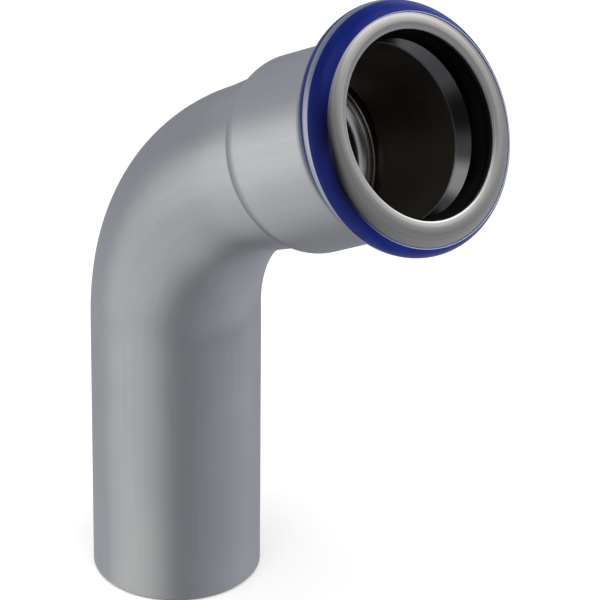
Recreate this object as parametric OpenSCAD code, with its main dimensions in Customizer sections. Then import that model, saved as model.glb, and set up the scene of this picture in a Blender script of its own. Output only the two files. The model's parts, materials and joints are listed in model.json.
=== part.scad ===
// Press fit pipe bend with one plain end and one press socket.
// A stainless tube is bent, swelled at one end into a socket, and curled over into a bead there.
// The bead holds a rubber seal ring inside and carries a coloured pressing indicator outside.
// Millimetres, +Z up. Origin: centre of the plain end's face. The bend turns from +Z towards +X.

/* [Pipe] */

// Outside diameter of the pipe, which is also that of the plain end and the bend
pipe_d = 22; // [18:0.5:28]
// Wall thickness of the plain end and the bend
tube_wall = 1.5; // [1.2:0.1:2]
// Length of the straight plain end
plain_length = 38; // [26:0.5:60]
// Bevel that takes the burr off the plain end's two edges
end_bevel = 0.3; // [0.1:0.05:0.5]

/* [Bend] */

// Angle the bend turns through, in degrees
bend_angle = 60; // [15:1:90]
// Radius of the bend's centreline
bend_radius = 30; // [28:0.5:60]
// Straight tube between the bend and the socket's crease
stub_length = 6.75; // [2:0.25:15]
// Wall drawn away by bending, on the bend's outer and inner faces alike
bend_thinning = 0.02; // [0.01:0.01:0.1]

/* [Socket] */

// Gap between the pipe and the socket's wall, on the radius
socket_clearance = 0.2; // [0.1:0.05:0.35]
// Wall thickness of the formed socket and its bead
socket_wall = 1.3; // [1.1:0.05:1.5]
// Length of the socket, from its crease to the front of the bead
socket_length = 23.65; // [20:0.05:40]
// Length of the rounded shoulder, from the crease to the straight wall
shoulder_length = 3; // [2.6:0.1:4]

/* [Bead] */

// Outside radius of the bead's round section
bead_section_r = 2.95; // [2.8:0.05:3.2]
// Height of the bead section's centre above the pipe's surface
bead_rise = 1.65; // [1.6:0.05:1.9]
// Slope of the bead's back, from the socket's axis, in degrees
flank_angle = 45; // [40:1:55]
// Angle the lip curls through, from the bead's crown to the lip's edge
lip_angle = 112; // [102:1:116]
// Rounding on the lip's outer edge
lip_edge_r = 0.3; // [0.2:0.05:0.45]

/* [Seal ring] */

// Gap between the seal ring and the inside of the bead
seal_clearance = 0.05; // [0.03:0.01:0.1]

/* [Pressing indicator] */

// Thickness of the pressing indicator
indicator_wall = 0.15; // [0.1:0.05:0.3]
// Gap between the pressing indicator and the bead
indicator_clearance = 0.02; // [0.01:0.01:0.05]
// Angle from the crown to the indicator's front edge
indicator_front = 50; // [40:1:75]
// Angle from the crown to the indicator's back edge
indicator_back = 42; // [30:1:44]

/* [Hidden] */

$fn = 96;

pipe_r = pipe_d / 2;
bore_r = pipe_r - tube_wall;
socket_in_r = pipe_r + socket_clearance;
socket_out_r = socket_in_r + socket_wall;

// Arcs run this far into their neighbours, so that each meets the next in a clean crossing
blend = 0.0005;
// The bend runs on by this angle into the straight tube at either end
bend_overrun = 0.1;
// Cutters run this far past the faces they cut
past = 1;

// Lengths along the socket's axis, counted from the end of the bend
shoulder_end = stub_length + shoulder_length;
bead_front = stub_length + socket_length;
bead_at = bead_front - bead_section_r;

// The shoulder is an arc that leaves the tube at the crease and eases into the straight wall
shoulder_rise = socket_out_r - pipe_r;
shoulder_r = (shoulder_length * shoulder_length + shoulder_rise * shoulder_rise) / (2 * shoulder_rise);
shoulder_c = socket_out_r - shoulder_r + blend;

// The bead is sheet rolled about a centre circle
bead_c = pipe_r + bead_rise;
bead_hollow_r = bead_section_r - socket_wall;

// The lip's edge is rounded just short of its end cut
lip_edge_c = bead_section_r - lip_edge_r + blend;
lip_edge_turn = asin((lip_edge_r - blend) / lip_edge_c);

seal_r = bead_hollow_r - seal_clearance;
indicator_in_r = bead_section_r + indicator_clearance;
indicator_out_r = indicator_in_r + indicator_wall;

// Moves its children from the plain end's face to the end of the bend, facing along the socket.
module on_socket_axis() {
    translate([bend_radius, 0, plain_length])
        rotate([0, bend_angle, 0])
            translate([-bend_radius, 0, 0])
                children();
}

// The plain end: straight tube with both edges of its open end bevelled.
module plain_end() {
    rotate_extrude()
        polygon([
            [bore_r, plain_length],
            [bore_r, end_bevel],
            [bore_r + end_bevel, 0],
            [pipe_r - end_bevel, 0],
            [pipe_r, end_bevel],
            [pipe_r, plain_length]
        ]);
}

// The bent tube, which runs a little into the wall of the straight tube at either end.
module bend() {
    translate([bend_radius, 0, plain_length])
        rotate([90, 0, 180])
            rotate(0 - bend_overrun)
                rotate_extrude(angle = bend_angle + 2 * bend_overrun)
                    translate([bend_radius, 0])
                        difference() {
                            circle(r = pipe_r - bend_thinning);
                            circle(r = bore_r + bend_thinning);
                        }
}

// A flat wedge from the centre of the bead's section, between two angles.
module wedge(from_angle, to_angle) {
    reach = bead_section_r + past;
    step = (to_angle - from_angle) / 6;
    polygon([
        [0, 0],
        for (i = [0:6]) reach * [cos(from_angle + i * step), sin(from_angle + i * step)]
    ]);
}

// Half section under the bead's back, a cone that leaves the wall and runs into a round section.
module under_flank(section_r) {
    reach = section_r - blend;
    start = bead_at - (reach + (bead_c - bore_r) * cos(flank_angle)) / sin(flank_angle);
    polygon([
        [0, start],
        [bore_r, start],
        [bead_c + reach * cos(flank_angle), bead_at - reach * sin(flank_angle)],
        [bead_c, bead_at],
        [0, bead_at]
    ]);
}

// Half section of the socket's outside, filled to its axis: tube, shoulder, straight wall and bead.
module socket_outside() {
    square([pipe_r, shoulder_end]);
    translate([shoulder_c, shoulder_end])
        circle(r = shoulder_r);
    translate([0, shoulder_end])
        square([socket_out_r, bead_at - shoulder_end]);
    under_flank(bead_section_r);
    translate([bead_c, bead_at])
        circle(r = bead_section_r);
}

// Half section of the socket's inside: bore, shoulder, straight wall, bead hollow and mouth.
module socket_inside() {
    square([bore_r, shoulder_end]);
    translate([shoulder_c, shoulder_end])
        circle(r = shoulder_r - socket_wall);
    translate([0, shoulder_end])
        square([socket_in_r, bead_front + past - shoulder_end]);
    under_flank(bead_hollow_r);
    translate([bead_c, bead_at]) {
        circle(r = bead_hollow_r);
        wedge(lip_angle, 200);
        rotate(lip_angle - lip_edge_turn)
            translate([lip_edge_c, 0])
                lip_corner();
    }
}

// Half section of what rounding takes from the corner between the lip's outer face and its end cut.
module lip_corner() {
    difference() {
        polygon([[0, 0], [past, 0], [past, past], past * [0 - sin(lip_edge_turn), cos(lip_edge_turn)]]);
        circle(r = lip_edge_r);
    }
}

// The socket, which starts with a short straight tube and ends in the bead and its lip.
module socket() {
    on_socket_axis()
        rotate_extrude()
            difference() {
                socket_outside();
                socket_inside();
            }
}

// The formed steel body, one piece from the plain end to the lip.
module bend_body() {
    color([0.66, 0.67, 0.68])
        union() {
            plain_end();
            bend();
            socket();
        }
}

// The rubber ring that lies in the bead's hollow and closes on the pipe.
module seal_ring() {
    color([0.02, 0.02, 0.02])
        on_socket_axis()
            rotate_extrude()
                translate([bead_c, bead_at])
                    circle(r = seal_r);
}

// The coloured band over the bead, which comes away once the joint is pressed.
module pressing_indicator() {
    color([0.03, 0.08, 0.38])
        on_socket_axis()
            rotate_extrude()
                translate([bead_c, bead_at])
                    intersection() {
                        difference() {
                            circle(r = indicator_out_r);
                            circle(r = indicator_in_r);
                        }
                        wedge(0 - indicator_back, indicator_front);
                    }
}

bend_body();
seal_ring();
pressing_indicator();
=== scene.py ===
"""Looks of a press fit pipe bend: formed steel body, rubber seal ring, pressing indicator, studio.

The pressing indicator is a band of thin film over the socket's bead.
"""

import json
import math

import bpy
import numpy as np
from bpy.props import FloatProperty, FloatVectorProperty, PointerProperty
from bpy.types import Operator, Panel, PropertyGroup
from mathutils import Matrix, Vector


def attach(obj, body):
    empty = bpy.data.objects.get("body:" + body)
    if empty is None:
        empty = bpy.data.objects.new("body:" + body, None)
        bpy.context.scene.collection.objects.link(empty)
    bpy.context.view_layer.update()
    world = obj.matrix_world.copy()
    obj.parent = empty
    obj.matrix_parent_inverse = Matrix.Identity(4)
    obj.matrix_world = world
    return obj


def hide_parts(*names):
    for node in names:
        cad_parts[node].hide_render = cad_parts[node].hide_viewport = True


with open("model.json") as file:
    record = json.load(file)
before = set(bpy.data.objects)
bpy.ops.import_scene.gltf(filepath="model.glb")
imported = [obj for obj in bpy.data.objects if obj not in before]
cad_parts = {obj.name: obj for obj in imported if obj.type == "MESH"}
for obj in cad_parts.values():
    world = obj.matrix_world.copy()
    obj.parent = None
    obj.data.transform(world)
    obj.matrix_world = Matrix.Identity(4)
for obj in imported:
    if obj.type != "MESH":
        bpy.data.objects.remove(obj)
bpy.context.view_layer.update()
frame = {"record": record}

bl_info = {
    "name": "Press fit pipe bend",
    "version": (1, 0, 0),
    "blender": (4, 5, 0),
    "location": "3D View > Sidebar > Pipe bend",
    "description": "Visible surfaces, finishes and studio of a press fit pipe bend",
    "category": "Object",
}

MOUNTS = {mount["name"]: mount["dims"] for mount in frame["record"]["mounts"]}
BODY = "root"
MM = 0.001
QUARTER = math.pi / 2.0
WHOLE = 2.0 * math.pi
WHITE = (1.0, 1.0, 1.0)

# Steps of the grids: around the tube, around the band, round the seal's section,
# across the band and over each of the band's edges
AROUND = 192
BAND_AROUND = 2 * AROUND
SEAL_STEPS = 72
BAND_STEPS = 90
BAND_EDGE_STEPS = 7
# The outline has finer rows over this many widths of the painted crease line and of the bead's painted
# shade
CREASE_WIDTHS = 4.0
SHADE_WIDTHS = 2.0
# Edges that turn by more than this are shown sharp
SHARP_TURN = math.radians(32.0)


def length(name, description, default_mm):
    """A size in metres, given in millimetres."""
    return FloatProperty(
        name=name, description=description, default=default_mm * MM, precision=6, unit="LENGTH")


def place(name, description, default_mm):
    """A place or a way in metres, given in millimetres."""
    return FloatVectorProperty(
        name=name, description=description, default=[part * MM for part in default_mm],
        precision=6, subtype="TRANSLATION")


def angle(name, description, default_degrees):
    """An angle, given in degrees."""
    return FloatProperty(
        name=name, description=description, default=math.radians(default_degrees), unit="ROTATION")


def colour(name, description, default):
    """A linear colour."""
    return FloatVectorProperty(
        name=name, description=description, default=default, min=0.0, max=1.0, subtype="COLOR")


def share(name, description, default):
    """A plain number from 0 to 1."""
    return FloatProperty(
        name=name, description=description, default=default, min=0.0, max=1.0, subtype="FACTOR")


def level(name, description, default):
    """A plain number, such as the strength of a light."""
    return FloatProperty(name=name, description=description, default=default)


class PipeBendSizes(PropertyGroup):
    """Sizes of the steel body, the seal ring and the pressing indicator"""

    pipe_r: length("Pipe radius", "Outside radius of the tube", MOUNTS["plain_end"]["r_mm"])
    bore_r: length("Bore radius", "Inside radius of the tube", 9.5)
    plain_length: length("Plain length", "Length of the straight plain end", 38.0)
    end_bevel: length("End bevel", "Bevel on the plain end's two edges", 0.3)
    bend_r: length("Bend radius", "Radius of the bend's centreline", 30.0)
    bend_turn: angle("Bend angle", "Angle the bend turns through", 60.0)
    bend_flat: length("Bend flattening", "How far the bend's inner and outer side are drawn in", 0.40)
    bend_bulge: length("Bend bulge", "How far the bend's two other sides are spread", 0.25)
    bend_ease: length("Bend easing", "Length over which the flattened tube becomes round", 6.0)
    ease_before: share("Easing before", "Share of the easing that lies before the bend", 0.3)
    ease_after: share("Easing after", "Share of the easing that lies past the bend", 0.8)
    stub_length: length("Stub", "Straight tube between the bend and the crease", 6.75)
    socket_r: length("Socket radius", "Inside radius of the socket", MOUNTS["socket"]["r_mm"])
    socket_wall: length("Socket wall", "Sheet thickness of the socket and bead", 1.3)
    socket_length: length("Socket length", "From the crease to the front of the bead", 23.65)
    shoulder_length: length("Shoulder", "Length of the rounded shoulder", 3.0)
    # Painted shade: the dark line in the crease is painted into the steel's colour
    painted_crease_line: length("Crease line", "Width of the dark line in the crease", 0.16)
    stop_round: length("Stop rounding", "Rounding on the edge that stops the pipe", 0.25)
    # The rubbed part of the pipe stop is polished, and a painted highlight brightens its colour
    stop_from: share("Stop start", "Where along the inner shoulder its rubbed part starts", 0.55)
    bead_r: length("Bead radius", "Outside radius of the bead's round section", 2.95)
    bead_rise: length("Bead rise", "Bead section's centre above the pipe's surface", 1.65)
    flank_turn: angle("Bead back", "Slope of the bead's back from the socket's axis", 45.0)
    # Painted shade: the wall at the foot of the bead's back is darkened in its colour
    bead_painted_shade: length("Bead shade", "How far the bead darkens the wall at the foot of its back", 1.1)
    lip_from: angle("Lip start", "From the bead's crown to where the lip's turned finish starts", 45.0)
    lip_turn: angle("Lip curl", "Curl of the lip, from the bead's crown to its edge", 112.0)
    lip_round: length("Lip rounding", "Rounding on the lip's outer edge", 0.3)
    seal_gap: length("Seal gap", "Gap between the seal ring and the bead's hollow", 0.05)
    band_wall: length("Band wall", "Thickness of the pressing indicator", 0.15)
    band_gap: length("Band gap", "Gap between the pressing indicator and the bead", 0.02)
    band_front: angle("Band front", "From the crown to the band's front edge, on average", 53.0)
    band_back: angle("Band back", "From the crown to the band's back edge", 42.0)
    band_skew: angle("Band skew", "How far the front edge is drawn forward on one side", 13.3)
    band_skew_at: angle("Band skew place", "Where around the socket it is drawn furthest forward", 161.8)
    band_wave: angle("Band wave", "How far the front edge waves, twice around the socket", 4.0)
    band_wave_at: angle("Band wave place", "Where around the socket the wave stands forward", 20.1)
    band_lift: length("Band lift", "How far the front edge stands off the bead at one place", 0.28)
    band_lift_at: angle("Band lift place", "Where around the socket the front edge stands off", 278.0)
    band_lift_run: angle("Band lift run", "How far around the socket it stands off, to each side", 29.0)
    # The silver line: a metallic, paler stripe along the band's crown, skewed around the socket
    line_at: angle("Bare line place", "From the crown to the bare line, on average", -6.5)
    line_width: angle("Bare line", "Width of the bare line along the band's crown", 17.0)
    line_soft: angle("Bare line softness", "Width over which the line's two borders fade", 4.0)
    line_skew: angle("Bare line skew", "How far the bare line runs forward on one side", 22.0)
    line_skew_at: angle("Bare line skew place", "Where around the socket it runs furthest forward", 168.0)


class PipeBendFinish(PropertyGroup):
    """Colours, tones of painted light and shade, and gloss of the steel, the rubber and the film"""

    steel: colour("Steel", "Pickled stainless steel", (0.55, 0.555, 0.56))
    steel_shade: colour("Steel shade", "Darker tone in the steel's grain", (0.505, 0.51, 0.52))
    steel_inside: colour("Steel inside", "Annealing tint on the inside of the tube", (0.38, 0.335, 0.29))
    # Painted shade: the colour that the crease line and the shade beside the film are painted towards
    painted_steel_shade: colour("Steel dark", "Crease line and shade beside the film", (0.05, 0.05, 0.052))
    lip: colour("Lip", "Turned lines on the lip", (0.58, 0.56, 0.525))
    lip_shade: colour("Lip shade", "Darker turned lines on the lip", (0.455, 0.44, 0.41))
    cut_end: colour("Cut end", "Sawn end of the tube and cut edge of the lip", (0.20, 0.195, 0.19))
    # Partly real, partly painted: rubbed edges are polished, and their bright colour is a painted
    # highlight, on the lip strongest at one place around
    burnish_and_glint: colour("Burnished steel", "Rubbed edges of lip and pipe stop", (0.92, 0.92, 0.91))
    painted_glint_at: angle("Burnished place", "Where around the socket the lip's edge is rubbed most", 315.0)
    steel_gloss: share("Steel roughness", "Roughness of the satin steel", 0.38)
    # Painted light and shade: these levels brighten or darken parts of the steel's colour where light
    # falls more or less
    bend_painted_light: level("Bend tone", "Brightness of the bend, against the plain end", 0.94)
    socket_painted_light: level("Socket tone", "Brightness of the socket at its bead, against the plain end", 1.20)
    # Painted shade on the socket's underside next to the bead
    underside: share("Underside", "How far the socket's underside is dimmed at the bead", 0.3)
    lip_painted_light: level("Lip tone", "Brightness of the lip, against its own colour", 0.9)
    seat_painted_light: level("Seat tone", "Brightness of the seal's sloped seat, against the plain end", 0.42)
    mouth_painted_light: level("Mouth tone", "Brightness of the inside wall at the bead, against deep inside", 0.45)
    # Painted shade in the crease: its soft halo, and where around the socket it is darkest
    painted_crease_halo: share("Crease halo", "Soft shade on the shoulder beside the crease line", 0.4)
    painted_crease_at: angle("Crease place", "Where around the socket the crease is darkest", 305.0)
    rubber: colour("Rubber", "Black rubber", (0.001, 0.001, 0.001))
    rubber_bloom: colour("Rubber bloom", "Greyer bloom on the rubber", (0.003, 0.003, 0.003))
    film: colour("Film", "Dark blue film", (0.0070, 0.018, 0.180))
    film_pale: colour("Film pale", "Paler patches in the film", (0.0098, 0.0255, 0.225))
    # Painted shade: the film's colour is darkened towards this navy where less light falls
    film_painted_shade: colour("Film navy", "Shaded film", (0.0018, 0.0018, 0.018))
    # Colour of the metallic silver line along the film's crown
    film_line: colour("Film line", "Bare line along the film's crown", (0.53, 0.545, 0.66))
    # Partly real, partly painted: the film's pale cut edge, with a painted highlight along it
    film_edge_and_glint: colour("Film edge", "Cut edge of the film", (0.44, 0.48, 0.66))
    # Painted shade on the film: how strong it is, where around the socket, and how far it fades
    broad_shade: share("Broad shade", "Shade over the film's front half on one side", 0.45)
    broad_shade_at: angle("Broad shade place", "Where around the socket it is darkest", 222.0)
    broad_shade_run: angle("Broad shade run", "How far around the socket it fades, to each side", 40.0)
    edge_shade: share("Edge shade", "Shade towards the film's front edge on one side", 0.72)
    edge_shade_at: angle("Edge shade place", "Where around the socket it is darkest", 256.0)
    edge_shade_run: angle("Edge shade run", "How far around the socket it fades, to each side", 20.0)
    # Darkening of the film behind the silver line
    back_shade: share("Back shade", "Shade on the film behind the bare line", 0.3)


class PipeBendStage(PropertyGroup):
    """Camera, floor and studio light"""

    camera_distance: length("Camera distance", "From the camera to its aim", 616.0)
    camera_lens: level("Camera lens", "Focal length in millimetres", 295.2)
    camera_sensor: level("Camera sensor", "Width of the sensor in millimetres", 36.0)
    camera_turn: angle("Camera turn", "Turn of the camera round the object", 42.70)
    camera_rise: angle("Camera rise", "Height of the camera above the horizon", 29.31)
    camera_roll: angle("Camera roll", "Roll of the camera", 0.56)
    camera_aim: place("Camera aim", "Point the camera aims at", (21.74, 0.0, 47.45))
    middle: place("Middle", "Middle of the tent, which the lamps face", (20.0, 0.0, 50.0))
    ambient: level("Ambient", "Strength of the surrounding light", 0.20)
    ambient_tint: colour("Ambient tint", "Colour of the surrounding light", (0.96, 0.98, 1.0))
    side_power: level("Side light", "Power of the softbox on the right, in watts", 1.7)
    side_width: length("Side width", "Width and height of the softbox on the right", 500.0)
    side_way: place("Side way", "To it from the middle: right, near and up", (500.0, 250.0, 20.0))
    top_power: level("Top light", "Power of the softbox overhead, in watts", 4.8)
    top_width: length("Top width", "Width and depth of the softbox overhead", 600.0)
    top_way: place("Top way", "To it from the middle: right, near and up", (0.0, 150.0, 700.0))
    floor: colour("Floor", "Pale floor", (0.86, 0.86, 0.86))
    floor_glow: level("Floor glow", "Glow that makes the floor look white, shadow apart", 0.45)
    floor_half: length("Floor half width", "From the middle of the floor to its sides", 3000.0)
    floor_gap: length("Floor gap", "How far the floor lies below the plain end", 0.05)


def of_scene(context):
    """The three groups of settings."""
    scene = context.scene
    return scene.pipe_bend_sizes, scene.pipe_bend_finish, scene.pipe_bend_stage


# Formulas that several pieces use


def ramp(value, low, high):
    """The value's share of the way from low to high, held between 0 and 1."""
    return np.clip((value - low) / (high - low), 0.0, 1.0)


def smooth(way):
    """Smooth step from 0 to 1: three times the square less twice the cube."""
    return way ** 2 * (3.0 - 2.0 * way)


def bell(around, peak, run):
    """One at a peak around the socket, falling off over a run to each side as a bell curve."""
    off = np.mod(around - peak + math.pi, WHOLE) - math.pi
    return np.exp(-(off / run) ** 2)


def one_sided(around, peak):
    """One at a peak around the socket and nothing opposite: half of one plus a cosine."""
    return (1.0 + np.cos(around - peak)) / 2.0


def whole_turn(count):
    """Angles at even steps of a whole turn."""
    return np.linspace(0.0, WHOLE, count, endpoint=False)


def all_round(row):
    """One value for each row of the body's outline, repeated around the tube."""
    return np.repeat(row[:, None].astype(float), AROUND, axis=1)


# Shapes


def straight(start, end, count):
    """Points at even steps on a straight line; the end is left to what follows."""
    return np.linspace(start, end, count, endpoint=False)


def on_circle(centre, radius, turn):
    """The centre plus the radius times the turn's cosine and sine."""
    return np.stack((centre[0] + radius * np.cos(turn), centre[1] + radius * np.sin(turn)), axis=-1)


def arc(centre, radius, start, end, count):
    """Points on a circle at even steps of the turn; the end is left to what follows."""
    return on_circle(centre, radius, np.linspace(start, end, count, endpoint=False))


def tube_axis(along, size):
    """Centre and inward side of the tube's axis at a length along it.

    The axis is a straight line up, then a circle of the bend's radius, then a straight line again:
    the angle of the circle is the length past the plain end over the radius, held between nothing
    and the bend's full turn, and what is left over runs straight on.
    """
    turn = np.clip((along - size.plain_length) / size.bend_r, 0.0, size.bend_turn)
    lead = np.minimum(along, size.plain_length)
    tail = np.maximum(along - size.plain_length - size.bend_r * size.bend_turn, 0.0)
    nothing = np.zeros_like(along)
    centre = np.stack((
        size.bend_r * (1.0 - np.cos(turn)) + tail * np.sin(turn),
        nothing,
        lead + size.bend_r * np.sin(turn) + tail * np.cos(turn)), axis=-1)
    inward = np.stack((np.cos(turn), nothing, -np.sin(turn)), axis=-1)
    return centre, inward


def carry_round(along, out, around, size):
    """Points at a length along the tube's axis, a distance out from it and an angle around it.

    Each is the axis point plus the distance times (cosine of the angle times the bend's inward
    side, plus its sine times the side square to the bend).
    """
    centre, inward = tube_axis(along, size)
    sideways = np.array((0.0, 1.0, 0.0))
    outward = np.cos(around)[..., None] * inward + np.sin(around)[..., None] * sideways
    return centre + out[..., None] * outward


def straightened(along, out, around):
    """Where a point would lie if the tube were straight, so that grain can follow the bend."""
    return np.stack((out * np.cos(around), out * np.sin(around), along), axis=-1)


def drawn_in(along, around, size):
    """How far the tube's surface lies inside or outside a round tube where it is bent.

    In the bend the tube is flattened towards the bend's centre and spread sideways: the flattening
    times the angle's cosine squared, against the bulge times its sine squared. Both ease in and out
    on a smooth step about the bend's two ends.
    """
    first = size.plain_length - size.ease_before * size.bend_ease
    last = size.plain_length + size.bend_r * size.bend_turn + size.ease_after * size.bend_ease
    rise = smooth(ramp(along, first, first + size.bend_ease))
    fall = smooth(ramp(along, last, last - size.bend_ease))
    bent = size.bend_bulge * np.sin(around) ** 2 - size.bend_flat * np.cos(around) ** 2
    return rise * fall * bent


def bead_place(size):
    """Length along the axis where the bend ends, and the centre of the bead's section."""
    start = size.plain_length + size.bend_r * size.bend_turn
    front = start + size.stub_length + size.socket_length
    return start, np.array((front - size.bead_r, size.pipe_r + size.bead_rise))


def band_edge(around, size):
    """Angle from the bead's crown to the band's front edge, and the share by which it is lifted.

    The edge is its mean angle plus the skew times a cosine around the socket, plus the wave times a
    cosine of the double angle; the lift is a bell curve of the angle from its place.
    """
    front = size.band_front + size.band_skew * np.cos(around - size.band_skew_at)
    front = front + size.band_wave * np.cos(2.0 * (around - size.band_wave_at))
    return front, bell(around, size.band_lift_at, size.band_lift_run)


# Zones of the steel, each with its own finish
OUTSIDE, LIP, EDGE, CUT, INSIDE, SEAT, SHOULDER, STOP = range(8)


def sheet_outline(size):
    """Closed outline of the formed sheet, as length along the axis and distance out from it.

    Straight lines and tangent arcs in turn: end face, bevel, tube, shoulder, socket wall, the bead's
    sloped back, bead, lip, and back inside at one sheet thickness to the bore. Each has its zone
    and, as its last number, its count of rows. The lengths at the crease and at the outer foot of
    the bead's back come with it.
    """
    start, bead = bead_place(size)
    pipe_r, bore_r, bevel = size.pipe_r, size.bore_r, size.end_bevel
    outer = size.socket_r + size.socket_wall
    crease = start + size.stub_length
    shoulder_end = crease + size.shoulder_length
    rise = outer - pipe_r
    shoulder_r = (size.shoulder_length ** 2 + rise ** 2) / (2.0 * rise)
    shoulder = (shoulder_end, outer - shoulder_r)
    crease_turn = math.atan2(pipe_r - shoulder[1], -size.shoulder_length)
    hollow_r = size.bead_r - size.socket_wall
    back = QUARTER + size.flank_turn

    def flank_foot(section_r, wall_r):
        """Where the bead's sloped back meets the socket's wall."""
        run = section_r + (bead[1] - wall_r) * math.cos(size.flank_turn)
        return bead[0] - run / math.sin(size.flank_turn), wall_r

    outer_foot = flank_foot(size.bead_r, outer)
    inner_foot = flank_foot(hollow_r, size.socket_r)
    lip_from = QUARTER - size.lip_from
    lip_c = size.bead_r - size.lip_round
    lip_end = QUARTER - size.lip_turn
    lip_start = lip_end + math.asin(size.lip_round / lip_c)
    lip_centre = on_circle(bead, lip_c, lip_start)
    cut_outer = on_circle(lip_centre, size.lip_round, lip_end - QUARTER)
    cut_inner = on_circle(bead, hollow_r, lip_end)
    inner_r = shoulder_r - size.socket_wall
    stop_out = bore_r + size.stop_round
    stop_back = math.sqrt((inner_r + size.stop_round) ** 2 - (stop_out - shoulder[1]) ** 2)
    stop = (shoulder_end - stop_back, stop_out)
    stop_turn = math.atan2(stop_out - shoulder[1], -stop_back)
    # Past this turn the pipe stop is rubbed and carries a painted highlight
    rubbed_glint_turn = QUARTER + size.stop_from * (stop_turn - QUARTER)
    fine = CREASE_WIDTHS * size.painted_crease_line
    fine_turn = crease_turn - fine / shoulder_r
    shaded = outer_foot[0] - SHADE_WIDTHS * size.bead_painted_shade
    parts = (
        (CUT, straight((0.0, bore_r + bevel), (0.0, pipe_r - bevel), 5)),
        (CUT, straight((0.0, pipe_r - bevel), (bevel, pipe_r), 3)),
        (OUTSIDE, straight((bevel, pipe_r), (size.plain_length, pipe_r), 24)),
        (OUTSIDE, straight((size.plain_length, pipe_r), (start, pipe_r), 72)),
        (OUTSIDE, straight((start, pipe_r), (crease - fine, pipe_r), 12)),
        (OUTSIDE, straight((crease - fine, pipe_r), (crease, pipe_r), 8)),
        (OUTSIDE, arc(shoulder, shoulder_r, crease_turn, fine_turn, 8)),
        (OUTSIDE, arc(shoulder, shoulder_r, fine_turn, QUARTER, 18)),
        (OUTSIDE, straight((shoulder_end, outer), (shaded, outer), 14)),
        (OUTSIDE, straight((shaded, outer), outer_foot, 14)),
        (OUTSIDE, straight(outer_foot, on_circle(bead, size.bead_r, back), 8)),
        (OUTSIDE, arc(bead, size.bead_r, back, lip_from, 34)),
        (LIP, arc(bead, size.bead_r, lip_from, lip_start, 22)),
        (EDGE, arc(lip_centre, size.lip_round, lip_start, lip_end - QUARTER, 8)),
        (CUT, straight(cut_outer, cut_inner, 6)),
        (INSIDE, arc(bead, hollow_r, lip_end, back, 36)),
        (SEAT, straight(on_circle(bead, hollow_r, back), inner_foot, 12)),
        (INSIDE, straight(inner_foot, (shoulder_end, size.socket_r), 24)),
        (SHOULDER, arc(shoulder, inner_r, QUARTER, rubbed_glint_turn, 8)),
        (STOP, arc(shoulder, inner_r, rubbed_glint_turn, stop_turn, 8)),
        (STOP, arc(stop, size.stop_round, stop_turn - math.pi, -QUARTER, 8)),
        (INSIDE, straight((stop[0], bore_r), (start, bore_r), 4)),
        (INSIDE, straight((start, bore_r), (size.plain_length, bore_r), 60)),
        (INSIDE, straight((size.plain_length, bore_r), (bevel, bore_r), 12)),
        (CUT, straight((bevel, bore_r), (0.0, bore_r + bevel), 3)),
    )
    points = np.concatenate([part for _, part in parts])
    zone = np.concatenate([np.full(len(part), number) for number, part in parts])
    return points, zone, crease, outer_foot[0]


def band_outline(half):
    """Outline of the band's section: place across it, height off its middle, reach past its edge.

    Straight along the outside from the back edge at 0 to the front edge at 1, half a circle over the
    front edge, straight back along the inside and half a circle over the back edge.
    """
    run = np.linspace(0.0, 1.0, BAND_STEPS)
    level_run = np.zeros(BAND_STEPS)
    turn = np.linspace(0.0, math.pi, BAND_EDGE_STEPS + 2)[1:-1]
    across = (run, np.ones(BAND_EDGE_STEPS), run[::-1], np.zeros(BAND_EDGE_STEPS))
    height = (level_run + half, half * np.cos(turn), level_run - half, -half * np.cos(turn))
    past = (level_run, half * np.sin(turn), level_run, -half * np.sin(turn))
    return [np.concatenate(rows)[:, None] for rows in (across, height, past)]


def ring_mesh(name, points, attributes):
    """A mesh over a grid of points that closes both along its rows and along its columns.

    Each face joins a grid point, its neighbour in the row, the one diagonally on and its neighbour
    in the column, counted round again at the grid's ends. A negative volume turns them all round.
    """
    rows, columns = points.shape[:2]
    number = np.arange(rows * columns).reshape(rows, columns)
    across = np.roll(number, -1, axis=1)
    faces = np.stack((number, across, np.roll(across, -1, axis=0), np.roll(number, -1, axis=0)), axis=-1)
    flat = points.reshape(-1, 3)
    a, b, c, d = (flat[faces[..., corner].ravel()] for corner in range(4))
    volume = np.einsum("ij,ij->", a, np.cross(b, c)) + np.einsum("ij,ij->", a, np.cross(c, d))
    if volume < 0.0:
        faces = faces[..., ::-1]
    mesh = bpy.data.meshes.new(name)
    mesh.vertices.add(rows * columns)
    mesh.loops.add(faces.size)
    mesh.polygons.add(rows * columns)
    mesh.vertices.foreach_set("co", flat.astype(np.float32).ravel())
    mesh.loops.foreach_set("vertex_index", faces.astype(np.int32).ravel())
    mesh.polygons.foreach_set("loop_start", np.arange(0, faces.size, 4, dtype=np.int32))
    mesh.update(calc_edges=True)
    if mesh.validate():
        raise RuntimeError(f"{name}: the grid made faces that are not valid")
    mesh.set_sharp_from_angle(angle=SHARP_TURN)
    for key, values in attributes.items():
        add_attribute(mesh, key, values)
    return mesh


def add_attribute(mesh, key, values):
    """Stores a value or a position for each point of a mesh, for its material to read."""
    kind, field = ("FLOAT_VECTOR", "vector") if values.ndim == 3 else ("FLOAT", "value")
    layer = mesh.attributes.new(key, kind, "POINT")
    layer.data.foreach_set(field, values.astype(np.float32).ravel())


def stand_for(context, mesh, node, material):
    """Shows a mesh in place of a CAD node, with the finish of a material slot."""
    piece = bpy.data.objects.new(mesh.name, mesh)
    context.scene.collection.objects.link(piece)
    mesh.materials.append(material)
    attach(piece, BODY)
    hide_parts(node)


# Painted light and shade that the surfaces carry

# Cosine of the angle from the bend's inner side: where the painted shade on the underside starts and is
# deepest
UNDERSIDE_SPAN = (-0.35, 0.75)
# Share of the way from the bead in to the crease: where the inside wall's painted light starts and ends
# its rise
DEPTH_SPAN = (0.15, 0.75)
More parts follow.
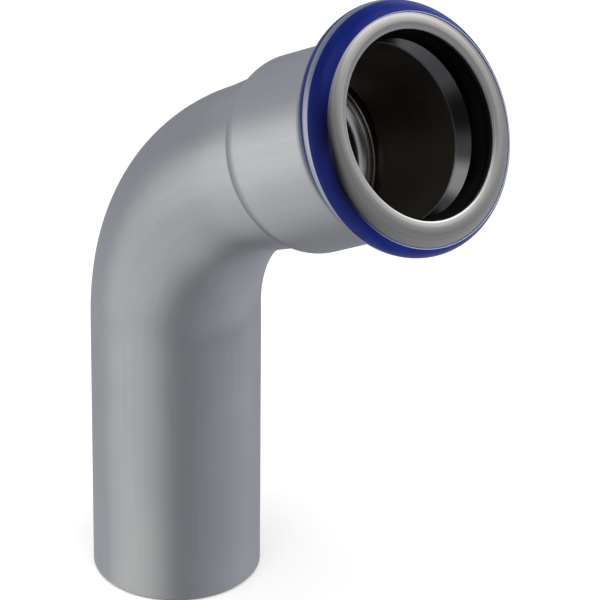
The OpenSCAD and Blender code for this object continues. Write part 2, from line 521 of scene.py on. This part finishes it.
# Radians from the film's front edge: where the painted shadow under it starts and is full, and its fade
# past it
LIFT_SPAN = (-0.3, -0.1)
LIFT_FADE = 0.16
# Share of the way across the film, from its back edge: where it starts to stand off, and where
# its broad painted shade and its edge painted shade start and are full
PEEL_SPAN = (0.62, 1.0)
BROAD_SPAN = (0.35, 0.65)
EDGE_SPAN = (0.42, 0.92)
# Widths of the silver line, from its middle back: where the film's darkening behind it starts and is full
BACK_SPAN = (0.5, 1.5)
# How much of the inside tint the rubbed seat and shoulder show
RUBBED_TINT = 0.2


def painted_steel_light(along, zone, crease, turn, size, finish):
    """Painted light and shade on the steel at each row of the outline and each step around it.

    Outside it runs straight between the painted light levels of plain end, bend and socket, and a painted
    shade dims the socket's underside, more so with the root of the way to the bead. Inside it rises from
    the mouth's painted shade with the depth. Lip and seat have a painted level each.
    """
    start, bead = bead_place(size)
    outside = np.interp(
        along,
        (size.plain_length, (size.plain_length + start) / 2.0, start, crease, bead[0]),
        (1.0, finish.bend_painted_light, finish.bend_painted_light, (1.0 + finish.socket_painted_light) / 2.0, finish.socket_painted_light))
    depth = ramp((bead[0] - along) / (bead[0] - crease), *DEPTH_SPAN)
    inside = finish.mouth_painted_light + (1.0 - finish.mouth_painted_light) * depth
    tone = np.select(
        (zone == OUTSIDE, zone == LIP, zone == INSIDE, zone == SEAT),
        (outside, finish.lip_painted_light, inside, finish.seat_painted_light), 1.0)
    # Painted shade on the socket's underside, deeper towards the bead
    way = np.sqrt(ramp(along, start, bead[0])) * (zone == OUTSIDE)
    below = ramp(np.cos(turn), *UNDERSIDE_SPAN) * way[:, None]
    return tone[:, None] * (1.0 - finish.underside * below)


def painted_crease_shade(along, crease, size, finish):
    """Painted shade in the crease: a bell-shaped line, or a soft halo that fades straight over the
    shoulder.
    """
    past = along - crease
    line = np.exp(-(past / size.painted_crease_line) ** 2)
    halo = finish.painted_crease_halo * ramp(past, size.shoulder_length, 0.0) * (past > 0.0)
    return np.maximum(line, halo)


def painted_shade_beside_film(outline, foot, turn, size):
    """Painted shade on the steel beside the film: behind the bead, and a painted shadow under the film's
    lifted edge.

    At the foot of the bead's back it is a flat-topped bell curve of the length along the wall. Under
    the edge it ramps up short of the edge and falls as a bell curve past it, times the edge's lift.
    """
    _, bead = bead_place(size)
    along, out = outline.T
    behind = np.exp(-((along - foot) / size.bead_painted_shade) ** 4) * (along < bead[0])
    lean = np.arctan2(along - bead[0], out - bead[1])[:, None]
    front, lifted = band_edge(turn, size)
    past = lean - front
    under = ramp(past, *LIFT_SPAN) * np.exp(-(np.maximum(past, 0.0) / LIFT_FADE) ** 2)
    return np.maximum(under * lifted, behind[:, None])


def painted_film_shade(across, behind_line, ring, finish):
    """Painted navy shade of the film at each place across it and each step around it.

    Two ramps across the film, each times a bell curve around the socket, are added as painted shade;
    behind the silver line a ramp of the distance from it takes over where it is darker.
    """
    broad = ramp(across, *BROAD_SPAN) * bell(ring, finish.broad_shade_at, finish.broad_shade_run)
    edge = ramp(across, *EDGE_SPAN) * bell(ring, finish.edge_shade_at, finish.edge_shade_run)
    front = finish.broad_shade * broad + finish.edge_shade * edge
    return np.maximum(front, finish.back_shade * ramp(behind_line, *BACK_SPAN))


# Finishes

# Share of the clouding in the steel's grain, beside the streaks, and of the streaks in its relief
CLOUD_SHARE = 0.7
STREAK_RELIEF = 0.5
# How deep the painted shade beside the film is, against the painted crease line
SHADE_DEPTH = 0.95
# Roughness: how far the steel's grain moves it, what cut ends and the silver line on the film add,
# and what turned lip, seat and rubbed edges take off
GRAIN_ROUGHNESS = 0.04
CUT_ROUGHNESS = 0.12
SILVER_ROUGHNESS = 0.18
POLISH = {"turned": 0.12, "seat": 0.25, "burnish_and_glint": 0.18}


def new_material(name):
    """A material with an empty node tree."""
    material = bpy.data.materials.new(name)
    material.use_nodes = True
    material.node_tree.nodes.clear()
    return material, material.node_tree


def rgba(value):
    """A colour with full alpha."""
    return (*value, 1.0)


def fill(tree, socket, value):
    """Links a socket to another node's output, or sets it to a plain value or colour."""
    if isinstance(value, bpy.types.NodeSocket):
        tree.links.new(value, socket)
    else:
        socket.default_value = rgba(value) if socket.type == "RGBA" else value


def put(tree, kind, inputs=None, **settings):
    """Adds a node, sets its settings, and fills its inputs."""
    made = tree.nodes.new(kind)
    for key, value in settings.items():
        setattr(made, key, value)
    for key, value in (inputs or {}).items():
        fill(tree, made.inputs[key], value)
    return made


def carried(tree, attribute, output="Fac"):
    """A value that the surface carries, or a position with the output Vector."""
    made = put(tree, "ShaderNodeAttribute", attribute_name=attribute, attribute_type="GEOMETRY")
    return made.outputs[output]


def mixed(tree, factor, first, second, kind="Color"):
    """A colour between two colours, or a value between two values with the kind Float."""
    made = put(tree, "ShaderNodeMix", data_type="RGBA" if kind == "Color" else "FLOAT")
    sockets = {socket.identifier: socket for socket in made.inputs}
    for key, value in (("Factor_Float", factor), (f"A_{kind}", first), (f"B_{kind}", second)):
        fill(tree, sockets[key], value)
    return next(socket for socket in made.outputs if socket.identifier == f"Result_{kind}")


def reach(tree, value, low, high, to_low=0.0, to_high=1.0):
    """A value carried from one span to another and held there."""
    made = put(tree, "ShaderNodeMapRange", {
        "Value": value, "From Min": low, "From Max": high, "To Min": to_low, "To Max": to_high})
    return made.outputs["Result"]


def combined(tree, operation, *values):
    """Values put together by one operation, from the first to the last."""
    result = values[0]
    for value in values[1:]:
        result = put(tree, "ShaderNodeMath", {0: result, 1: value}, operation=operation).outputs[0]
    return result


def scaled(tree, value, factor):
    """A value times a factor."""
    return combined(tree, "MULTIPLY", value, factor)


def bumped(tree, height, strength, depth):
    """The normal of a surface with fine relief of a depth in metres."""
    made = put(tree, "ShaderNodeBump", {"Strength": strength, "Distance": depth, "Height": height})
    return made.outputs["Normal"]


def close_material(tree, surface):
    """Links a shader to the material's output."""
    put(tree, "ShaderNodeOutputMaterial", {"Surface": surface})


def grain_group():
    """Node group: fine marks, longer in one direction than in another.

    Noise at the position times the number of marks per metre in each direction.
    """
    group = bpy.data.node_groups.new("surface_grain", "ShaderNodeTree")
    sockets = group.interface
    sockets.new_socket("Position", in_out="INPUT", socket_type="NodeSocketVector")
    sockets.new_socket("Marks", in_out="INPUT", socket_type="NodeSocketVector")
    sockets.new_socket("Detail", in_out="INPUT", socket_type="NodeSocketFloat")
    sockets.new_socket("Grain", in_out="OUTPUT", socket_type="NodeSocketFloat")
    given = put(group, "NodeGroupInput").outputs
    spread = put(
        group, "ShaderNodeVectorMath", {0: given["Position"], 1: given["Marks"]}, operation="MULTIPLY")
    noise = put(group, "ShaderNodeTexNoise", {
        "Vector": spread.outputs[0], "Scale": 1.0, "Detail": given["Detail"], "Roughness": 0.55})
    put(group, "NodeGroupOutput", {"Grain": noise.outputs["Fac"]})
    return group


def grain(tree, position, marks, detail=2.0):
    """Places the grain group, made on first use, with its own values."""
    group = bpy.data.node_groups.get("surface_grain") or grain_group()
    made = put(tree, "ShaderNodeGroup", node_tree=group)
    for key, value in (("Position", position), ("Marks", marks), ("Detail", detail)):
        fill(tree, made.inputs[key], value)
    return made.outputs["Grain"]


def steel_colour(tree, finish, tone, lines, masks):
    """Colour of the steel: grain, lip, inside, cut ends and rubbed edges with their painted highlight in
    turn, then painted light and shade.
    """
    plain = mixed(tree, reach(tree, tone, low=0.38, high=0.62), finish.steel_shade, finish.steel)
    brushed = mixed(tree, reach(tree, lines, low=0.35, high=0.65), finish.lip_shade, finish.lip)
    result = mixed(tree, masks["turned"], plain, brushed)
    result = mixed(tree, masks["inside"], result, finish.steel_inside)
    result = mixed(tree, masks["cut"], result, finish.cut_end)
    # Rubbed edges: polished steel brightened by a painted highlight
    result = mixed(tree, masks["burnish_and_glint"], result, finish.burnish_and_glint)
    # Painted light and shade: the colour is scaled by the steel's painted level
    with_painted_light = put(tree, "ShaderNodeVectorMath", {0: result, "Scale": masks["tone"]}, operation="SCALE")
    # Painted shade in the crease and beside the film darkens the colour
    dark = combined(tree, "MAXIMUM", masks["crease"], scaled(tree, masks["shaded"], SHADE_DEPTH))
    return mixed(tree, dark, with_painted_light.outputs[0], finish.painted_steel_shade)


def steel_roughness(tree, finish, tone, masks):
    """Roughness of the steel: the grain's, more on cut ends, less on lip, seat and rubbed edges."""
    high, low = finish.steel_gloss + GRAIN_ROUGHNESS, finish.steel_gloss - GRAIN_ROUGHNESS
    grained = reach(tree, tone, low=0.35, high=0.65, to_low=high, to_high=low)
    rough = combined(tree, "ADD", grained, scaled(tree, masks["cut"], CUT_ROUGHNESS))
    polished = (scaled(tree, masks[name], amount) for name, amount in POLISH.items())
    return combined(tree, "SUBTRACT", rough, combined(tree, "MAXIMUM", *polished))


def steel_finish(finish):
    """Pickled stainless steel: drawn streaks, soft clouding, turned lines on the lip, rough cut ends,
    rubbed edges brightened by a painted highlight, painted shade in the crease and beside the film,
    painted light and shade levels, and an annealing tint inside."""
    material, tree = new_material("satin_steel")
    names = ("turned", "cut", "inside", "crease", "seat", "burnish_and_glint", "shaded", "tone")
    masks = {name: carried(tree, name) for name in names}
    sheet = carried(tree, "sheet", "Vector")
    streaks = grain(tree, sheet, marks=(2600.0, 2600.0, 45.0), detail=3.0)
    cloud = grain(tree, sheet, marks=(70.0, 70.0, 45.0))
    frost = grain(tree, sheet, marks=(9000.0, 9000.0, 9000.0))
    lines = grain(tree, carried(tree, "rings", "Vector"), marks=(7000.0, 30.0, 30.0), detail=3.0)
    tone = mixed(tree, CLOUD_SHARE, streaks, cloud, "Float")
    drawn = mixed(tree, STREAK_RELIEF, frost, streaks, "Float")
    relief = mixed(tree, masks["turned"], drawn, lines, "Float")
    shader = put(tree, "ShaderNodeBsdfPrincipled", {
        "Base Color": steel_colour(tree, finish, tone, lines, masks),
        "Metallic": reach(tree, masks["inside"], low=0.35, high=1.0, to_low=1.0, to_high=0.93),
        "Roughness": steel_roughness(tree, finish, tone, masks),
        "Normal": bumped(tree, relief, strength=0.35, depth=0.012 * MM)})
    close_material(tree, shader.outputs["BSDF"])
    return material


def rubber_finish(finish):
    """Black rubber: fine moulded grain under a faint grey bloom."""
    material, tree = new_material("black_rubber")
    sheet = carried(tree, "sheet", "Vector")
    bloom = grain(tree, sheet, marks=(220.0, 220.0, 220.0), detail=3.0)
    skin = grain(tree, sheet, marks=(5200.0, 5200.0, 5200.0))
    bloomed = reach(tree, bloom, low=0.42, high=0.66)
    shader = put(tree, "ShaderNodeBsdfPrincipled", {
        "Base Color": mixed(tree, bloomed, finish.rubber, finish.rubber_bloom),
        "Roughness": reach(tree, bloom, low=0.35, high=0.65, to_low=0.48, to_high=0.62),
        "Specular IOR Level": 0.05,
        "Normal": bumped(tree, skin, strength=0.4, depth=0.01 * MM)})
    close_material(tree, shader.outputs["BSDF"])
    return material


def film_finish(finish):
    """Dark blue film with paler patches, faint draw lines and painted navy shade, one metallic silver
    line on its crown, and a pale cut edge with a painted highlight."""
    material, tree = new_material("blue_film")
    sheet = carried(tree, "sheet", "Vector")
    cloud = grain(tree, sheet, marks=(160.0, 160.0, 160.0))
    lines = grain(tree, sheet, marks=(60.0, 60.0, 6000.0))
    blue = mixed(tree, reach(tree, cloud, low=0.38, high=0.64), finish.film, finish.film_pale)
    # A metallic, paler and rougher silver line along the film's crown
    silver = reach(tree, carried(tree, "silver"), low=0.42, high=0.58)
    lined = mixed(tree, silver, blue, finish.film_line)
    # Pale front edge: the cut edge with a painted highlight
    edged = mixed(tree, carried(tree, "rim"), lined, finish.film_edge_and_glint)
    rough = reach(tree, lines, low=0.35, high=0.65, to_low=0.12, to_high=0.17)
    shader = put(tree, "ShaderNodeBsdfPrincipled", {
        "Base Color": mixed(tree, carried(tree, "shaded"), edged, finish.film_painted_shade),
        "Metallic": silver,
        "Roughness": combined(tree, "ADD", rough, scaled(tree, silver, SILVER_ROUGHNESS)),
        "Specular IOR Level": 0.10,
        "Normal": bumped(tree, lines, strength=0.25, depth=0.01 * MM)})
    close_material(tree, shader.outputs["BSDF"])
    return material


# Operators


class PIPEBEND_OT_body(Operator):
    """Makes the steel body: the sheet's outline carried round the bent axis"""

    bl_idname = "pipebend.body"
    bl_label = "Steel body"

    def execute(self, context):
        size, finish, _ = of_scene(context)
        outline, zone, crease, foot = sheet_outline(size)
        length_along = outline[:, 0]
        turn = whole_turn(AROUND)
        along, around = np.meshgrid(length_along, turn, indexing="ij")
        out = all_round(outline[:, 1]) + drawn_in(along, around, size)
        step = np.linalg.norm(np.diff(outline, axis=0, prepend=outline[:1]), axis=1)
        walked = all_round(np.cumsum(step))
        outside = (zone == OUTSIDE) | (zone == LIP)
        rubbed = (zone == SEAT) | (zone == SHOULDER)
        lip_glint = one_sided(turn, finish.painted_glint_at)
        painted_crease = painted_crease_shade(length_along, crease, size, finish) * outside
        mesh = ring_mesh("formed_body", carry_round(along, out, around, size), {
            "sheet": straightened(along, out, around),
            "rings": np.stack((walked, out * np.cos(around), out * np.sin(around)), axis=-1),
            "turned": all_round(zone == LIP),
            "cut": all_round(zone == CUT),
            "inside": all_round((zone == INSIDE) + RUBBED_TINT * rubbed),
            "seat": all_round(rubbed),
            # Rubbed stop and lip edge, brightened by a painted highlight that on the lip is strongest at
            # one place around
            "burnish_and_glint": all_round(zone == STOP) + all_round(zone == EDGE) * lip_glint,
            # Painted light and shade level of the steel
            "tone": painted_steel_light(length_along, zone, crease, turn, size, finish),
            # Painted shade behind the bead and painted shadow under the film's lifted edge
            "shaded": painted_shade_beside_film(outline, foot, turn, size) * all_round(outside),
            # Painted shade in the crease, darkest at one place around the socket
            "crease": all_round(painted_crease) * one_sided(turn, finish.painted_crease_at),
        })
        stand_for(context, mesh, "bend_body", steel_finish(finish))
        return {"FINISHED"}


class PIPEBEND_OT_seal(Operator):
    """Makes the seal ring: a circle carried round the socket's axis"""

    bl_idname = "pipebend.seal"
    bl_label = "Seal ring"

    def execute(self, context):
        size, finish, _ = of_scene(context)
        _, bead = bead_place(size)
        section = size.bead_r - size.socket_wall - size.seal_gap
        turn, around = np.meshgrid(whole_turn(SEAL_STEPS), whole_turn(AROUND), indexing="ij")
        along = bead[0] + section * np.cos(turn)
        out = bead[1] + section * np.sin(turn)
        mesh = ring_mesh("rubber_ring", carry_round(along, out, around, size), {
            "sheet": straightened(along, out, around)})
        stand_for(context, mesh, "seal_ring", rubber_finish(finish))
        return {"FINISHED"}


class PIPEBEND_OT_band(Operator):
    """Makes the pressing indicator: a thin strip bent over the bead, askew and lifted at one place"""

    bl_idname = "pipebend.band"
    bl_label = "Pressing indicator"

    def execute(self, context):
        size, finish, _ = of_scene(context)
        _, bead = bead_place(size)
        half = size.band_wall / 2.0
        middle = size.bead_r + size.band_gap + half
        across, height, past = band_outline(half)
        ring = whole_turn(BAND_AROUND)
        front, lifted = band_edge(ring, size)
        tilt = across * (front + size.band_back) - size.band_back + past / middle
        peel = ramp(across, *PEEL_SPAN)
        away = middle + height + size.band_lift * peel ** 2 * lifted
        along = bead[0] + away * np.sin(tilt)
        out = bead[1] + away * np.cos(tilt)
        around = np.broadcast_to(ring, tilt.shape)
        line = size.line_at + size.line_skew * np.cos(ring - size.line_skew_at)
        off_line = np.abs(tilt - line) - size.line_width / 2.0
        soft = size.line_soft / 2.0
        shade = painted_film_shade(across, (line - tilt) / size.line_width, ring, finish)
        mesh = ring_mesh("indicator_band", carry_round(along, out, around, size), {
            "sheet": straightened(along, out, around),
            # Where the metallic silver line lies on the film
            "silver": ramp(off_line, soft, -soft),
            # Pale front edge with a painted highlight, left out where the edge stands off into painted
            # shade
            "rim": (past > 0.0) * (1.0 - lifted),
            # Painted shade on the film, and a painted shadow where its front edge stands off
            "shaded": np.maximum(shade, peel * lifted),
        })
        stand_for(context, mesh, "pressing_indicator", film_finish(finish))
        return {"FINISHED"}


# Stage


def set_on_stage(context, mesh, material):
    """Shows a mesh as part of the stage."""
    mesh.materials.append(material)
    item = bpy.data.objects.new(mesh.name, mesh)
    context.scene.collection.objects.link(item)
    return item


def softbox(context, name, stand, aim, width, power):
    """A square lamp that faces a point and shows in no reflection."""
    data = bpy.data.lights.new(name, "AREA")
    data.shape = "RECTANGLE"
    data.size = width
    data.size_y = width
    data.energy = power
    lamp = bpy.data.objects.new(name, data)
    lamp.location = stand
    lamp.rotation_euler = (aim - stand).to_track_quat("-Z", "Y").to_euler()
    lamp.visible_camera = False
    lamp.visible_glossy = False
    context.scene.collection.objects.link(lamp)


def seen_rays(tree):
    """One for camera, glossy and transmission rays, and nothing for the rest."""
    path = put(tree, "ShaderNodeLightPath").outputs
    return combined(
        tree, "MAXIMUM", path["Is Camera Ray"], path["Is Glossy Ray"], path["Is Transmission Ray"])


def white_world(context, stage):
    """A world that looks white and lights the scene at its own plain level."""
    world = bpy.data.worlds.new("white_surround")
    world.use_nodes = True
    tree = world.node_tree
    tree.nodes.clear()
    light = put(tree, "ShaderNodeBackground", {"Color": stage.ambient_tint, "Strength": stage.ambient})
    white = put(tree, "ShaderNodeBackground", {"Color": WHITE, "Strength": 1.0})
    choice = put(tree, "ShaderNodeMixShader", {
        0: seen_rays(tree), 1: light.outputs[0], 2: white.outputs[0]})
    put(tree, "ShaderNodeOutputWorld", {"Surface": choice.outputs[0]})
    world.cycles.sampling_method = "NONE"
    context.scene.world = world


def pale_floor(context, stage):
    """A wide pale floor under the plain end, which takes the shadow; metal shows the tent instead."""
    material, tree = new_material("pale_floor")
    base = put(tree, "ShaderNodeBsdfDiffuse", {"Color": stage.floor})
    glow = put(tree, "ShaderNodeEmission", {
        "Color": WHITE, "Strength": scaled(tree, seen_rays(tree), stage.floor_glow)})
    both = put(tree, "ShaderNodeAddShader", {0: base.outputs[0], 1: glow.outputs[0]})
    close_material(tree, both.outputs[0])
    wide, low = stage.floor_half, -stage.floor_gap
    corners = ((-wide, -wide, low), (wide, -wide, low), (wide, wide, low), (-wide, wide, low))
    mesh = bpy.data.meshes.new("floor")
    mesh.from_pydata(corners, [], [(0, 1, 2, 3)])
    mesh.update()
    floor = set_on_stage(context, mesh, material)
    floor.visible_glossy = False


COOL = (0.96, 1.0, 1.09)
NEUTRAL = (0.99, 1.0, 1.0)
# The tent's cloth all round: turn in degrees from the camera's side to its right, tone and tint
TENT_AROUND = (
    (-180.0, 0.41, COOL), (-140.0, 0.57, COOL), (-115.0, 0.50, COOL), (-90.0, 0.69, NEUTRAL),
    (-70.0, 0.86, NEUTRAL), (-45.0, 0.80, NEUTRAL), (-25.0, 0.62, NEUTRAL), (-5.0, 0.30, COOL),
    (12.0, 0.28, COOL), (40.0, 0.39, COOL), (80.0, 0.50, COOL), (115.0, 0.62, COOL),
    (150.0, 0.50, COOL), (180.0, 0.41, COOL))
# The same from below to above: height in degrees from the horizon, tone and tint
TENT_UP = (
    (-90.0, 0.68, NEUTRAL), (-60.0, 0.85, NEUTRAL), (-35.0, 1.0, NEUTRAL), (-10.0, 0.74, NEUTRAL),
    (10.0, 0.84, NEUTRAL), (40.0, 0.58, NEUTRAL), (90.0, 0.28, NEUTRAL))
# Paler windows, and the dark opening that the camera looks through: turn, height and half width in
# degrees, and how strong
TENT_WINDOWS = (
    (-88.0, -2.0, 26.0, 0.46), (112.0, 38.0, 25.0, 1.05), (82.0, 58.0, 26.0, 0.30),
    (152.0, 18.0, 18.0, 0.50), (-27.0, 80.0, 16.0, 0.90))
TENT_OPENING = (4.0, 27.0, 22.0, 0.88)
# Shares of its half width between which a window or the opening eases out
TENT_SOFT = (0.45, 1.35)
TENT_R = 0.9
TENT_STEPS_AROUND = 72
TENT_STEPS_UP = 36


def tent_point(turn, height, facing):
    """The cosine of the height times the turn's cosine and sine, and the sine of the height."""
    side, up = np.radians(turn) + facing, np.radians(height)
    return np.stack((np.cos(up) * np.cos(side), np.cos(up) * np.sin(side), np.sin(up)), axis=-1)


def tent_mesh(middle, facing):
    """The tent's sphere: the middle plus the radius times a unit point at each turn and height."""
    turn, height = np.meshgrid(
        np.linspace(-180.0, 180.0, TENT_STEPS_AROUND + 1),
        np.linspace(-90.0, 90.0, TENT_STEPS_UP + 1), indexing="ij")
    points = np.array(middle) + TENT_R * tent_point(turn, height, facing)
    number = np.arange(turn.size).reshape(turn.shape)
    faces = np.stack((number[:-1, :-1], number[:-1, 1:], number[1:, 1:], number[1:, :-1]), axis=-1)
    mesh = bpy.data.meshes.new("studio_tent")
    mesh.from_pydata(points.reshape(-1, 3).tolist(), [], faces.reshape(-1, 4).tolist())
    mesh.update()
    add_attribute(mesh, "tent_turn", turn)
    add_attribute(mesh, "tent_height", height)
    return mesh


def tone_ramp(tree, value, stops):
    """Tones given at places along a span of degrees, blended between them."""
    low, high = stops[0][0], stops[-1][0]
    made = put(tree, "ShaderNodeValToRGB", {"Fac": reach(tree, value, low, high)})
    held = made.color_ramp.elements
    for at, _, _ in stops[1:-1]:
        held.new((at - low) / (high - low))
    for stop, (_, tone, tint) in zip(held, stops):
        stop.color = rgba(tone * part for part in tint)
    return made.outputs["Color"]


def tent_cloth(middle, facing):
    """Grey cloth with paler windows and a dark opening, which shines by itself."""
    material, tree = new_material("tent_cloth")
    spot = put(tree, "ShaderNodeTexCoord").outputs["Object"]

    def patch(turn, height, half_width, strength):
        """The strength near one direction, eased to nothing around it."""
        centre = tuple(np.array(middle) + TENT_R * tent_point(turn, height, facing))
        away = put(tree, "ShaderNodeVectorMath", {0: spot, 1: centre}, operation="DISTANCE")
        span = 2.0 * TENT_R * math.sin(math.radians(half_width) / 2.0)
        eased = put(tree, "ShaderNodeMapRange", {
            "Value": away.outputs["Value"], "From Min": TENT_SOFT[0] * span,
            "From Max": TENT_SOFT[1] * span, "To Min": strength, "To Max": 0.0},
            interpolation_type="SMOOTHSTEP")
        return eased.outputs["Result"]

    around = tone_ramp(tree, carried(tree, "tent_turn"), TENT_AROUND)
    upward = tone_ramp(tree, carried(tree, "tent_height"), TENT_UP)
    bright = put(tree, "ShaderNodeRGBToBW", {0: upward}).outputs[0]
    closed = combined(tree, "SUBTRACT", 1.0, patch(*TENT_OPENING))
    glow = combined(tree, "ADD", *(patch(*window) for window in TENT_WINDOWS))
    cloth = put(tree, "ShaderNodeEmission", {"Color": around, "Strength": scaled(tree, bright, closed)})
    windows = put(tree, "ShaderNodeEmission", {"Color": WHITE, "Strength": glow})
    both = put(tree, "ShaderNodeAddShader", {0: cloth.outputs[0], 1: windows.outputs[0]})
    close_material(tree, both.outputs[0])
    material.cycles.emission_sampling = "NONE"
    return material


def studio_tent(context, middle, facing):
    """A tent all round that only reflections show, so that the steel has something to mirror."""
    tent = set_on_stage(context, tent_mesh(middle, facing), tent_cloth(middle, facing))
    tent.visible_camera = False
    tent.visible_diffuse = False
    tent.visible_shadow = False


def photo_camera(context, stage):
    """Sets the camera round its aim, and gives the level directions to its right and towards it.

    It stands back from the aim along the direction of its turn and rise; its right and up sides are
    level first and are then rolled about that direction.
    """
    turn, rise, roll = stage.camera_turn, stage.camera_rise, stage.camera_roll
    toward = Vector((math.sin(turn), -math.cos(turn), 0.0))
    level_right = Vector((math.cos(turn), math.sin(turn), 0.0))
    back = math.cos(rise) * toward + Vector((0.0, 0.0, math.sin(rise)))
    level_up = back.cross(level_right)
    right = math.cos(roll) * level_right + math.sin(roll) * level_up
    up = math.cos(roll) * level_up - math.sin(roll) * level_right
    pose = Matrix((right, up, back)).transposed().to_4x4()
    pose.translation = Vector(stage.camera_aim) + back * stage.camera_distance
    camera = bpy.data.objects.new("camera", bpy.data.cameras.new("camera"))
    camera.data.lens = stage.camera_lens
    camera.data.sensor_width = stage.camera_sensor
    camera.data.clip_start = 0.01
    camera.data.clip_end = 20.0
    camera.matrix_world = pose
    context.scene.collection.objects.link(camera)
    context.scene.camera = camera
    return level_right, toward


class PIPEBEND_OT_stage(Operator):
    """Makes the camera, the white surround, the pale floor, the mirrored tent and the soft lamps"""

    bl_idname = "pipebend.stage"
    bl_label = "Studio"

    def execute(self, context):
        _, _, stage = of_scene(context)
        context.scene.view_settings.view_transform = "Standard"
        right, toward = photo_camera(context, stage)
        white_world(context, stage)
        pale_floor(context, stage)
        middle = Vector(stage.middle)
        studio_tent(context, middle, stage.camera_turn - QUARTER)
        from_camera = Matrix((right, toward, (0.0, 0.0, 1.0))).transposed()
        side = middle + from_camera @ Vector(stage.side_way)
        softbox(context, "softbox_right", side, middle, stage.side_width, stage.side_power)
        top = middle + from_camera @ Vector(stage.top_way)
        softbox(context, "softbox_top", top, middle, stage.top_width, stage.top_power)
        return {"FINISHED"}


class PIPEBEND_PT_panel(Panel):
    """Lists the pieces of the pipe bend and their settings"""

    bl_idname = "PIPEBEND_PT_panel"
    bl_label = "Press fit pipe bend"
    bl_space_type = "VIEW_3D"
    bl_region_type = "UI"
    bl_category = "Pipe bend"

    def draw(self, context):
        for settings in of_scene(context):
            for key in settings.__annotations__:
                self.layout.prop(settings, key)
        for operator in OPERATORS:
            self.layout.operator(operator.bl_idname)


OPERATORS = (PIPEBEND_OT_body, PIPEBEND_OT_seal, PIPEBEND_OT_band, PIPEBEND_OT_stage)
SETTINGS = (
    ("pipe_bend_sizes", PipeBendSizes),
    ("pipe_bend_finish", PipeBendFinish),
    ("pipe_bend_stage", PipeBendStage),
)


def register():
    """Registers the settings, the operators and the panel."""
    for name, group in SETTINGS:
        bpy.utils.register_class(group)
        setattr(bpy.types.Scene, name, PointerProperty(type=group))
    for operator in OPERATORS:
        bpy.utils.register_class(operator)
    bpy.utils.register_class(PIPEBEND_PT_panel)


def unregister():
    """Takes back what register added."""
    bpy.utils.unregister_class(PIPEBEND_PT_panel)
    for operator in reversed(OPERATORS):
        bpy.utils.unregister_class(operator)
    for name, group in reversed(SETTINGS):
        delattr(bpy.types.Scene, name)
        bpy.utils.unregister_class(group)


def main():
    """Builds the pieces and the studio."""
    register()
    bpy.ops.pipebend.body()
    bpy.ops.pipebend.seal()
    bpy.ops.pipebend.band()
    bpy.ops.pipebend.stage()


if __name__ == "__main__":
    main()
